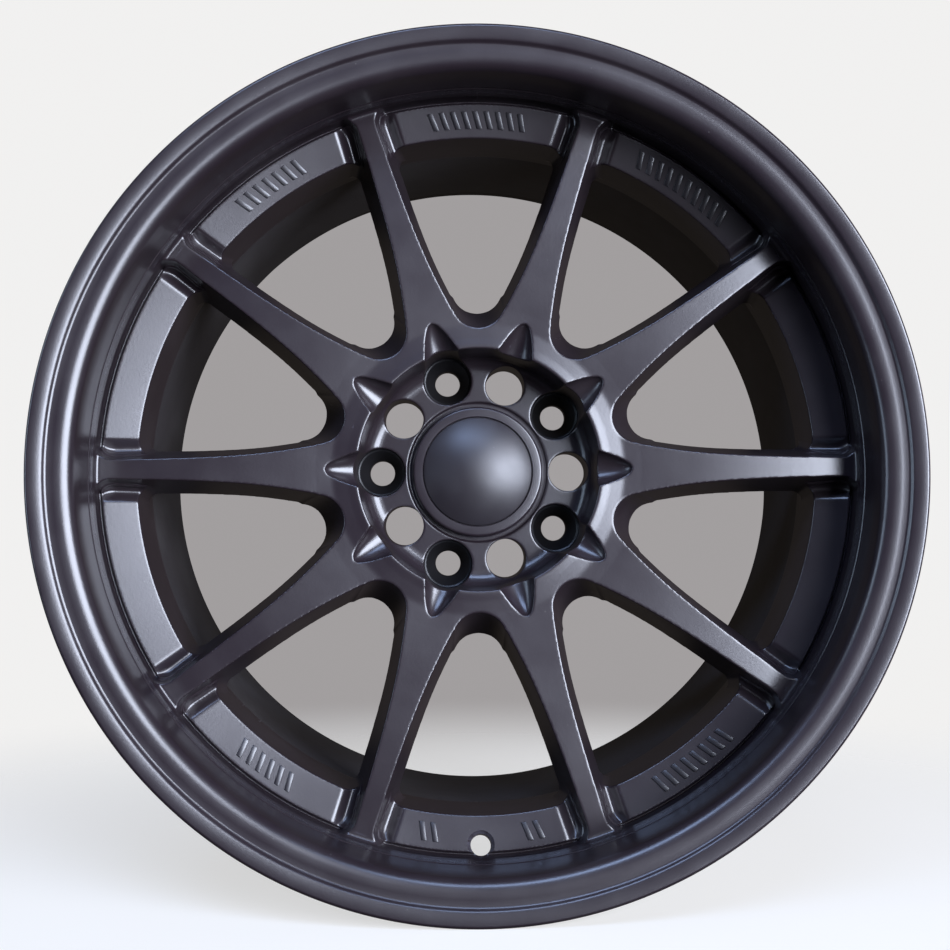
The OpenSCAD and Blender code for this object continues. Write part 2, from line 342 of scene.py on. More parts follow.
def rounded(points: Sequence[Point2], radii: dict[int, float], steps: int = 5) -> list[Point2]:
    """Rounds chosen corners of a closed outline.

    Args:
        points: the outline's corners in order.
        radii: corner number to rounding radius.
        steps: points per rounded corner, less one.

    Returns:
        The outline with its corners rounded.
    """
    out: list[Point2] = []
    count = len(points)
    for i, corner in enumerate(points):
        if i not in radii:
            out.append(corner)
            continue
        here = Vector(corner)
        back = (Vector(points[i - 1]) - here).normalized()
        ahead = (Vector(points[(i + 1) % count]) - here).normalized()
        half = back.angle(ahead) / 2
        reach = radii[i] / math.tan(half)
        first, last = here + back * reach, here + ahead * reach
        centre = here + (back + ahead).normalized() * radii[i] / math.sin(half)
        spread = math.pi - 2 * half
        for k in range(steps + 1):
            a, b = math.sin(spread * (1 - k / steps)), math.sin(spread * k / steps)
            spot = centre + ((first - centre) * a + (last - centre) * b) / math.sin(spread)
            out.append((spot.x, spot.y))
    return out


# ---------------------------------------------------------------- sizes shared by the whole wheel


@dataclass(frozen=True)
class WheelSizes:
    """Main sizes in millimetres; depths count back from the front flange's face.

    The sectors meet the lip at joint_front and the barrel at joint_back. The ledge is a cone that starts
    at ledge_r and ledge_depth and falls by ledge_fall over ledge_run towards the barrel.
    """

    bead_r: float = 218.3
    flange_r: float = 235.8
    tyre_r: float = 217.9
    lip_r: float = 213.0
    barrel_r: float = 193.3
    well_r: float = 197.5
    depth: float = 254.3
    hub_depth: float = 111.0
    spokes: int = 10
    first_spoke: float = 108.0
    lug_circle: float = 57.15
    joint_front: float = 42.0
    joint_back: float = 95.0
    ledge_r: float = 212.6
    ledge_depth: float = 55.0
    ledge_fall: float = 6.0
    ledge_run: float = 19.3

    @property
    def step(self) -> float:
        """Angle from one spoke to the next."""
        return TAU / self.spokes

    @property
    def ledge_lean(self) -> float:
        """Angle by which the ledge leans back."""
        return math.atan(self.ledge_fall / self.ledge_run)

    def spoke_angle(self, number: int) -> float:
        """Angle of a spoke, numbered from one clockwise, anticlockwise from +X as seen from the front."""
        return -math.radians(self.first_spoke + 360.0 / self.spokes * (number - 1))

    def ledge(self, r: float) -> float:
        """Depth of the ledge's cone at a radius."""
        return self.ledge_depth + self.ledge_fall * (self.ledge_r - r) / self.ledge_run

    def y(self, depth: float) -> float:
        """Place along Y in metres of a depth."""
        return (depth - self.hub_depth) * MM

    def section(self, points: Iterable[Point2]) -> list[Point2]:
        """Turns (radius, depth) corners in millimetres into (radius, y) in metres."""
        return [(r * MM, self.y(d)) for r, d in points]


WHEEL = WheelSizes()


@dataclass
class SpokeSector:
    """One tenth of the forged disc: hub slice, spoke, half of each neighbouring ledge pad and a band of barrel.

    All sizes are in millimetres and angles in radians. The spoke runs from hub_r to end_r. Its front and back
    are each as wide as tip_w and, towards the hub, wider by a flare that fades over a length.
    """

    hole: HubHole
    hub_r: float = 92.0
    end_r: float = 203.3
    bore_r: float = 36.55
    ridge_r: float = 69.6
    ridge_depth: float = 54.3
    floor_depth: float = 90.0
    tip_depth: float = 47.0
    tip_back: float = 83.0
    bow: float = 7.5
    bow_power: float = 1.6
    back_fall: float = 5.0
    front_tip_w: float = 4.9
    front_flare: float = 9.3
    front_fade: float = 37.0
    back_tip_w: float = 12.4
    back_flare: float = 14.0
    back_fade: float = 22.0
    window_front: float = 54.0
    window_back: float = 87.0
    window_end_r: float = 15.0
    window_end_at: float = 95.122
    window_end_draft: float = 0.439
    blend: float = 0.8
    back_blend: float = 1.6
    flute_r: float = 9.4
    flute_l: float = 17.5
    flute_power: float = 0.56
    flute_depth: float = 55.2
    pocket_r: float = 14.25
    seat_r: float = 13.0
    lug_r: float = 7.5
    seat_depth: float = 94.5
    light_r: float = 11.6
    light_at: float = 54.0
    voxel: float = 0.4
    smoothing: int = 14
    keep: float = 0.22
    spare: float = math.radians(4)
    corner_r: float = 8.0
    pad_start: float = 14.5
    pad_end_r: float = 217.5
    pad_corner: float = 7.0
    pad_roll: float = 8.0
    pocket_drop: float = 5.0
    foot_fillet: float = 6.0
    foot_start: float = 205.0
    foot_reach: float = 8.0
    foot_spread: float = 4.5
    far_r: float = 245.0
    tip_fall: float = 1.0
    fall_start: float = 190.0
    beyond_front: float = 36.0
    beyond_back: float = 108.0

    def inward(self, r: float) -> float:
        """How far a radius is from the spoke's end towards the hub, as a share of the spoke's length."""
        return (self.end_r - r) / (self.end_r - self.hub_r)

    def front_depth(self, r: float) -> float:
        """Depth of the spoke's front face at a radius."""
        bow = self.bow * max(0.0, self.inward(r)) ** self.bow_power
        past = max(0.0, min(r, WHEEL.lip_r) - self.fall_start) / (WHEEL.lip_r - self.fall_start)
        return self.tip_depth + bow + self.tip_fall * past ** 3

    def back_depth(self, r: float) -> float:
        """Depth of the spoke's back at a radius."""
        return self.tip_back + self.back_fall * self.inward(r)

    def half_width(self, r: float, depth: float) -> float:
        """Half the spoke's width at a radius and depth; the flanks are straight from front to back."""
        front = self.front_tip_w + self.front_flare * math.exp(-(r - self.hub_r) / self.front_fade)
        back = self.back_tip_w + self.back_flare * math.exp(-(r - self.hub_r) / self.back_fade)
        share = (depth - self.front_depth(r)) / (self.back_depth(r) - self.front_depth(r))
        return front + (back - front) * share

    def disc_profile(self) -> list[Point2]:
        """Section of the disc before the windows are cut, a little longer than the piece at both ends."""
        floor, top, ridge = self.floor_depth, self.ridge_depth, self.ridge_r
        bore, lip, tyre, well, barrel = self.bore_r, WHEEL.lip_r, WHEEL.tyre_r, WHEEL.well_r, WHEEL.barrel_r
        corners = [(bore, floor + 1.5), (41.3, floor + 1.5), (41.7, floor), (ridge - 2.4, floor)]
        corners += [(ridge - 0.9, top), (ridge + 0.9, top), (ridge + 5.0, top + 0.5), (ridge + 13.0, top + 1.0)]
        radii = {3: 9.0, 4: 0.7, 5: 0.7, 6: 12.0, 7: 20.0}
        along = [*range(92, 189, 6), 190, 193, 196, 199, 201, 203, 205, 207, 208.5, 210]
        front = [(r, self.front_depth(r)) for r in along]
        fillet = [(lip - 1.8, 47.7), (lip - 1.0, 47.4), (lip - 0.4, 46.8), (lip, 45.8), (lip, self.beyond_front)]
        outside = [(tyre, self.beyond_front), (tyre, 64.0), (tyre - 0.6, 66.0), (well, 74.0), (well, 105.0)]
        inside = [(barrel, 105.0), (barrel, 88.0), (191.9, 84.9), (188.0, 83.7)]
        inside += [(r, self.back_depth(r)) for r in range(180, 91, -11)]
        back = [(90.0, 91.0), (76.0, 109.5), (75.0, WHEEL.hub_depth), (bore, WHEEL.hub_depth)]
        return rounded(corners + front + fillet + outside + inside + back, radii, steps=6)

    def backward(self, depth: float) -> float:
        """How far a depth is through the window, from its front (0) to its back (1)."""
        return (depth - self.window_front) / (self.window_back - self.window_front)

    def window_outline(self, depth: float, through: bool, shy: float) -> list[Point2]:
        """Outline of the space between two spokes at a depth.

        Args:
            depth: the depth.
            through: True for the window itself, with rounded corners at the barrel; False for the
                space in front of the ledge, where the spokes' feet spread onto the lip wall.
            shy: how far the sides stay off the spokes, so that no two cuts share a face.

        Returns:
            The corners in millimetres, from the end at the hub out along both spokes.
        """
        half_step = WHEEL.step / 2
        centre_r = self.window_end_at + self.window_end_draft * (depth - self.window_front)
        cx, cz = centre_r * math.cos(half_step), centre_r * math.sin(half_step)
        side = arc(cx, cz, self.window_end_r, 198.0, 268.0, 14)
        limit = side[-1][1]
        coarse, fine, pitch, last = 30, 32, 1.1, 181.0
        stations = [cx + (last - cx) * i / coarse for i in range(1, coarse + 1)]
        stations += [last + pitch * i for i in range(1, fine + 1)]
        blend = self.blend + self.back_blend * self.backward(depth)
        for r in stations:
            excess = math.exp((limit - self.half_width(r, depth)) / blend)
            side.append((r, limit - blend * math.log(1.0 + excess) + self.spread(r, through) + shy))
        cos2, sin2 = math.cos(2 * half_step), math.sin(2 * half_step)
        mirrored = [(x * cos2 + z * sin2, x * sin2 - z * cos2) for x, z in side[1:]]
        far = [(self.far_r * math.cos(half_step), self.far_r * math.sin(half_step))]
        return side + far + mirrored[::-1]

    def spread(self, r: float, through: bool) -> float:
        """How far a spoke's side spreads at its outer end."""
        if not through:
            return self.foot_spread * (max(0.0, r - self.foot_start) / self.foot_reach) ** 2
        t = min(max(0.0, r - WHEEL.barrel_r + self.corner_r), self.corner_r)
        return self.corner_r - math.sqrt(self.corner_r ** 2 - t ** 2)

    def between_spokes(self, through: bool, shy: float = 0.0) -> bpy.types.Object:
        """Drafted solid that fills the space between this spoke and the next."""
        near = self.window_outline(self.window_front, through, shy)
        far = self.window_outline(self.window_back, through, shy)

        def slide(depth: float) -> list[Point2]:
            """The outline carried straight on to another depth."""
            t = self.backward(depth)
            return [((a[0] + (b[0] - a[0]) * t) * MM, (a[1] + (b[1] - a[1]) * t) * MM) for a, b in zip(near, far)]

        start, end = self.beyond_front, self.beyond_back
        return drafted("between", slide(start), slide(end), WHEEL.y(start), WHEEL.y(end))

    def wedge(self, name: str, profile: Sequence[Point2], extra: float = 0.0) -> bpy.types.Object:
        """Turns a section through half a sector and a little more on either side."""
        spare = self.spare + extra
        sweep = WHEEL.step / 2 + 2 * spare
        steps = round(math.degrees(sweep) * 2)
        return turned(name, WHEEL.section(profile), steps, -spare, sweep)

    def cut_window(self, body: bpy.types.Object) -> None:
        """Cuts the window and the narrow groove between the ledge and the lip wall."""
        barrel, wall, groove = WHEEL.barrel_r - 0.03, WHEEL.lip_r - 0.1, WHEEL.lip_r + 1.3
        window = [(70, 30), (barrel, 30), (barrel, 112), (70, 112)]
        gap = [(205, 30), (wall, 30), (wall, 46.5), (groove, 48.5), (groove, 59), (wall, 59), (212.6, 56.6),
               (211.4, 55.1), (205, 54)]
        for section, through, shy in ((window, True, 0.0), (gap, False, 0.05)):
            space = self.between_spokes(through, shy)
            combine(space, self.wedge("air", section, self.spare / 4), Operation.KEEP)
            combine(body, space, Operation.CUT)

    def ledge_depth(self, x: float, z: float) -> float:
        """Depth of the ledge's surface: the pad, its rolled end and the pocket beside the spoke.

        Args:
            x: distance along the spoke in millimetres.
            z: distance from the spoke's centreline in millimetres.

        Returns:
            The depth in millimetres.
        """
        r = math.hypot(x, z)
        across = max(0.0, self.pad_corner - (z - self.pad_start))
        along = max(0.0, self.pad_corner - (self.pad_end_r - r))
        inside = self.pad_corner - math.hypot(across, along)
        t = min(1.0, max(0.0, 0.5 - inside / self.pad_roll))
        depth = WHEEL.ledge(r) + self.pocket_drop * t * t * (3 - 2 * t)
        beside = z - self.half_width(min(r, 210.0), depth) - self.spread(r, False)
        near = min(self.foot_fillet, max(0.0, self.foot_fillet - beside))
        return depth - (self.foot_fillet - math.sqrt(self.foot_fillet ** 2 - near ** 2))

    def cut_ledge(self, body: bpy.types.Object) -> None:
        """Cuts the space in front of the ledge."""
        clear_selection()
        bpy.ops.mesh.primitive_grid_add(x_subdivisions=110, y_subdivisions=120, size=1)
        air = bpy.context.object
        for vertex in air.data.vertices:
            s, t = vertex.co.x + 0.5, vertex.co.y + 0.5
            vertex.co = Vector(((150 + 68 * s) * MM, WHEEL.y(40.0), (-8 + 30 * t + 64 * t ** 3) * MM))
        edit(air)
        bpy.ops.mesh.extrude_region_move(TRANSFORM_OT_translate={"value": (0, 20 * MM, 0)})
        done()
        for vertex in air.data.vertices:
            if vertex.co.y > WHEEL.y(50.0):
                vertex.co.y = WHEEL.y(self.ledge_depth(vertex.co.x / MM, vertex.co.z / MM))
        face_out(air)
        wall, groove = WHEEL.lip_r - 0.2, WHEEL.lip_r + 0.8
        inside = [(155, 31), (wall, 31), (wall, 46.2), (groove, 48.2), (groove, 72), (155, 90)]
        space = self.between_spokes(False, 0.02)
        combine(space, self.wedge("inside", inside, self.spare / 3), Operation.KEEP)
        combine(space, air, Operation.KEEP)
        combine(body, space, Operation.CUT)

    def cut_flute(self, body: bpy.types.Object) -> None:
        """Cuts the pointed flute that runs from the ridge up the spoke."""
        length, count = self.flute_l + 8.0, 24
        along = [i * length / count for i in range(1, count + 1)]
        profile = [(self.flute_r * (t / self.flute_l) ** self.flute_power, -t) for t in along]
        profile = [(0.0, 0.0)] + profile + [(0.0, -length)]
        flute = turned("flute", [(r * MM, t * MM) for r, t in profile], 96)
        lay = Matrix(((0, 1, 0), (1, 0, 0), (0, 0, 1))).to_4x4()
        tip = Vector(((self.ridge_r + self.flute_l) * MM, WHEEL.y(self.flute_depth), 0))
        flute.data.transform(Matrix.Translation(tip) @ lay)
        face_out(flute)
        combine(body, flute, Operation.CUT)

    def cut_holes(self, body: bpy.types.Object) -> None:
        """Cuts the lug pocket with its seat and hole, or the lightening hole."""

        def bore(at: float, r0: float, r1: float, d0: float, d1: float) -> None:
            """Cuts one round or conical bore along the wheel's axis."""
            ends = [Vector((at * MM, WHEEL.y(d), 0)) for d in (d0, d1)]
            combine(body, rod("bore", r0 * MM, r1 * MM, *ends), Operation.CUT)

        if self.hole is HubHole.LIGHTENING:
            bore(self.light_at, self.light_r, self.light_r, 40.0, 120.0)
            return
        seat = self.seat_depth
        bore(WHEEL.lug_circle, self.pocket_r, self.pocket_r, 40.0, seat)
        bore(WHEEL.lug_circle, self.seat_r + 0.6, self.lug_r, seat - 1.0, seat + 9.5)
        bore(WHEEL.lug_circle, self.lug_r, self.lug_r, seat, 120.0)

    def build(self, name: str) -> bpy.types.Object:
        """Builds the sector with its spoke along +X.

        Args:
            name: the piece's name.

        Returns:
            The closed sector.
        """
        body = self.wedge(name, self.disc_profile())
        for cut in (self.cut_window, self.cut_ledge, self.cut_flute, self.cut_holes):
            cut(body)
            close_gaps(body)
        apply_modifier(body, "REMESH", mode="VOXEL", voxel_size=self.voxel * MM, adaptivity=0.0)
        apply_modifier(body, "SMOOTH", factor=0.5, iterations=self.smoothing)
        apply_modifier(body, "DECIMATE", ratio=self.keep)
        half_step, far = WHEEL.step / 2, 150 * MM
        trim(body, Vector((0, 0, 0)), Vector((-math.sin(half_step), 0, math.cos(half_step))))
        trim(body, Vector((0, WHEEL.y(WHEEL.joint_front), 0)), Vector((0, -1, 0)))
        trim(body, Vector((0, WHEEL.y(WHEEL.joint_back), 0)), Vector((0, 1, 0)),
             pick=lambda face: face.calc_center_median().xz.length > far)
        trim(body, Vector((0, 0, 0)), Vector((0, 0, -1)), fill=False)
        apply_modifier(body, "MIRROR", use_axis=(False, False, True), use_clip=True, merge_threshold=2e-7)
        face_out(body)
        smooth(body)
        return body


@dataclass
class Rim:
    """The turned parts of the forging: the deep lip with its flange in front, and the barrel with its own behind."""

    steps: int = 360

    def flange(self) -> list[Point2]:
        """Section of a rolled flange, from the lip wall round its edge to the bead seat, in (radius, depth)."""
        lip, rim, bead = WHEEL.lip_r, WHEEL.flange_r, WHEEL.bead_r
        roll = [(lip, 11.6), (lip + 0.5, 9.4), (lip + 1.7, 7.5), (lip + 3.6, 6.1), (lip + 6.2, 5.2), (lip + 9.4, 4.7)]
        step = [(rim - 10.4, 4.5), (rim - 9.6, 4.2), (rim - 9.0, 3.5), (rim - 8.5, 2.8)]
        step += [(rim - 7.9, 2.4), (rim - 7.2, 2.15)]
        edge_r, thick, back_r = 2.0, 6.5, 7.5
        edge = arc(rim - edge_r, edge_r, edge_r, -90, 0, 6)
        edge += arc(rim - edge_r, thick - edge_r, edge_r, 0, 90, 6)
        return roll + step + edge + arc(bead + back_r, thick + back_r, back_r, -90, -180, 10)

    def front(self) -> bpy.types.Object:
        """The deep lip, its flange and its bead seat, up to where the spoke sectors start."""
        lip, cut, tyre, end = WHEEL.lip_r, WHEEL.lip_r + 0.35, WHEEL.tyre_r, WHEEL.joint_front
        wall = [(lip, end), (lip, 35.6), (cut, 35.2), (cut, 33.2), (lip, 32.8), (lip, 24.0)]
        hump = [(tyre, 33.0), (tyre + 0.5, 35.0), (tyre + 0.8, 37.0), (tyre + 0.5, 39.0), (tyre, 41.0), (tyre, end)]
        obj = turned("rim_front", WHEEL.section(wall + self.flange() + hump), self.steps)
        smooth(obj, 35)
        return obj

    def rear(self) -> bpy.types.Object:
        """The barrel, the inner bead seat and the rear flange."""
        back = WHEEL.depth
        inside = [(WHEEL.barrel_r, WHEEL.joint_back), (WHEEL.barrel_r, 169.0), (193.5, 170.0)]
        inside += [(209.4, 218.0), (211.6, 225.0), (212.6, 232.0), (WHEEL.lip_r, 238.0)]
        flange = [(r, back - d) for r, d in self.flange()]
        bead = WHEEL.bead_r
        hump = [(bead, 221.5), (bead + 0.4, 219.0), (bead + 0.8, 216.5), (bead + 0.4, 214.0), (bead, 212.0)]
        hump += [(bead - 1.3, 209.6)]
        well = [(199.0, 181.6), (197.8, 178.0), (WHEEL.well_r, 174.0), (WHEEL.well_r, WHEEL.joint_back)]
        obj = turned("rim_rear", WHEEL.section(inside + flange + hump + well), self.steps)
        smooth(obj, 35)
        return obj


@dataclass
class ValveHole:
    """Hole through the lowest ledge pad, square to the ledge, with a countersunk edge."""

    radius: float = 5.75
    sink_r: float = 7.6
    at_r: float = 208.0

    def cut(self, sectors: Sequence[bpy.types.Object]) -> None:
        """Cuts the hole through the sectors that meet at the pad."""
        centre = Vector((0, WHEEL.y(WHEEL.ledge(self.at_r)), -self.at_r * MM))
        along = Vector((0, math.cos(WHEEL.ledge_lean), -math.sin(WHEEL.ledge_lean)))
        for sector in sectors:
            for r0, r1, start, end in (
                (self.radius, self.radius, -10.0, 30.0),
                (self.sink_r + 0.6, self.radius, -0.6, 1.6),
            ):
                tool = rod("valve", r0 * MM, r1 * MM, centre + along * start * MM, centre + along * end * MM)
                combine(sector, tool, Operation.CUT)


@dataclass
class PadMarks:
    """Rows of slanted bars raised on the ledge pads; a row is its angle in degrees and its number of bars."""

    wide: float = 3.0
    long: float = 10.0
    high: float = 0.7
    pitch: float = 6.4
    slant: float = math.radians(16)
    sunk: float = 1.2
    bevel: float = 0.28
    at_r: float = 203.0
    rows: tuple[tuple[float, int], ...] = (
        (90, 9), (126, 7), (54, 10), (-54, 8), (-126, 6), (-81.8, 2), (-98.2, 2),
    )

    def bar(self) -> bpy.types.Object:
        """One bar on the pad in line with +X, bevelled and laid on the pad's slope."""
        skew = self.long * math.sin(self.slant) / 2
        corners = [(-self.long / 2, -self.wide / 2 - skew), (self.long / 2, -self.wide / 2 + skew),
                   (self.long / 2, self.wide / 2 + skew), (-self.long / 2, self.wide / 2 - skew)]
        flat = [(x * MM, z * MM) for x, z in corners]
        obj = drafted("bar", flat, flat, -self.high * MM, self.sunk * MM)
        apply_modifier(obj, "BEVEL", width=self.bevel * MM, segments=3, limit_method="ANGLE",
                       angle_limit=math.radians(30))
        seat = Vector((self.at_r * MM, WHEEL.y(WHEEL.ledge(self.at_r)), 0))
        obj.data.transform(Matrix.Translation(seat) @ Matrix.Rotation(-WHEEL.ledge_lean, 4, "Z"))
        return obj

    def build(self) -> bpy.types.Object:
        """All rows of bars in one piece."""
        first = self.bar()
        bars = []
        for angle, count in self.rows:
            for i in range(count):
                place = math.radians(angle) + (i - (count - 1) / 2) * self.pitch / self.at_r
                bars.append(turned_copy(first, "bar", place))
        bpy.data.objects.remove(first, do_unlink=True)
        obj = merge("pad_bars", bars)
        smooth(obj, 30)
        return obj


@dataclass
class CentreCap:
    """Domed snap-in cap with its legs, and the turned collar that it sits in."""

    radius: float = 32.0
    dome: float = 9.5
    wall: float = 2.2
    gap: float = 0.4
    floor: float = 90.0
    collar_h: float = 6.0
    collar_r: float = 38.2
    bore_r: float = 30.6
    legs: int = 6
    leg_l: float = 10.0
    leg_gap: float = 5.0
    steps: int = 256

    def collar(self) -> bpy.types.Object:
        """The forged collar round the cap."""
        top, r, inner = self.floor - self.collar_h, self.collar_r, self.radius + self.gap
        section = [(inner, top + 0.3), (inner + 0.3, top)] + arc(r - 1.5, top + 1.5, 1.5, -90, 0, 6)
        foot, shelf = self.floor + 2.5, top + 2.6
        section += [(r, foot - 1.9), (r + 0.25, foot - 1.25), (r + 0.8, foot - 1.0), (r + 0.8, foot)]
        section += [(self.bore_r, foot), (self.bore_r, shelf), (inner, shelf)]
        obj = turned("cap_collar", WHEEL.section(section), self.steps)
        smooth(obj, 35)
        return obj

    def shell(self) -> bpy.types.Object:
        """The dome with its rim and its snap legs."""

        def bowl(centre: float, ball: float, edge: float, count: int) -> list[Point2]:
            """Section of a spherical bowl from the axis out to an angle."""
            turns = [edge * i / count for i in range(count + 1)]
            return [(ball * math.sin(turn), centre - ball * math.cos(turn)) for turn in turns]

        r = self.radius
        rim = self.floor - self.collar_h + 0.2
        low = self.floor - self.collar_h + 2.5
        ball = (r * r + self.dome ** 2) / (2 * self.dome)
        centre = rim - self.dome + ball
        edge = math.asin((r - 0.6) / ball)
        outside = bowl(centre, ball, edge, 28)
        brim = outside[-1][1]
        outside += [(r - 0.28, brim + 0.22), (r - 0.06, brim + 0.55), (r, brim + 1.0), (r, low - 0.15), (r - 0.15, low)]
        inner = ball - self.wall
        inside = bowl(centre, inner, math.asin((r - self.wall) / inner), 14)[::-1]
        shell = turned("centre_cap_dome", WHEEL.section(outside + inside), self.steps)
        out, end = self.bore_r - 1.3, low + self.leg_l
        hook = [(out, end - 3.0), (out + 0.85, end - 2.75), (out + 1.0, end - 2.4), (out + 0.9, end - 2.0), (out, end)]
        toe = [(out - 2.6, end), (out - 2.6, end - 1.0), (out - 1.7, end - 1.6)]
        leg = [(out - 1.7, low - 2.6), (out, low - 2.6)] + hook + toe
        slot = self.leg_gap / out
        sweep = TAU / self.legs - slot
        pieces = [shell]
        for i in range(self.legs):
            pieces.append(turned("leg", WHEEL.section(leg), 24, slot / 2 + i * TAU / self.legs, sweep))
        obj = merge("centre_cap_dome", pieces)
        smooth(obj, 35)
        return obj


# ---------------------------------------------------------------- finishes


class Skin(Enum):
    """The shared surface effects, by the name of their node group."""

    SPRAYED = "sprayed_skin"
    PAINTED_HIGHLIGHT = "painted_edge_highlights"
    DUSTED = "settled_dust"


def put(tree: bpy.types.NodeTree, kind: str, wires: Optional[dict[object, object]] = None,
        **settings: object) -> bpy.types.Node:
    """Adds a shader node, sets its properties and fills its inputs.

    Args:
        tree: the tree that gets the node.
        kind: the node's type, without "ShaderNode".
        wires: input name or number to a value, or to the output socket that feeds it.
        settings: the node's properties by name.

    Returns:
        The node.
    """
    node = tree.nodes.new(kind if kind.startswith("Node") else "ShaderNode" + kind)
    for key, value in settings.items():
        setattr(node, key, value)
    for key, value in (wires or {}).items():
        if isinstance(value, bpy.types.NodeSocket):
            tree.links.new(value, node.inputs[key])
        else:
            node.inputs[key].default_value = value
    return node


def math_node(tree: bpy.types.NodeTree, operation: str, *values: object) -> bpy.types.NodeSocket:
    """Adds a Math node for two or three values and returns its output."""
    return put(tree, "Math", dict(enumerate(values)), operation=operation).outputs[0]


def steps_to(tree: bpy.types.NodeTree, value: object, low: float, high: float,
             to: Point2 = (0.0, 1.0)) -> bpy.types.NodeSocket:
    """Maps a range onto another with soft ends.

    Args:
        tree: the tree.
        value: what is mapped.
        low: start of the range.
        high: end of the range.
        to: what the two ends become.

    Returns:
        The mapped value.
    """
    node = put(tree, "MapRange", {0: value, 1: low, 2: high, 3: to[0], 4: to[1]}, interpolation_type="SMOOTHSTEP")
    return node.outputs[0]


def blend(tree: bpy.types.NodeTree, share: object, first: object, second: object) -> bpy.types.NodeSocket:
    """Mixes two colours by a share."""
    return put(tree, "Mix", {0: share, 6: first, 7: second}, data_type="RGBA").outputs[2]


def noise(tree: bpy.types.NodeTree, where: bpy.types.NodeSocket, scale: object,
          detail: float = 2.0) -> bpy.types.NodeSocket:
    """Adds a Noise texture and returns its value."""
    return put(tree, "TexNoise", {"Vector": where, "Scale": scale, "Detail": detail}).outputs[0]


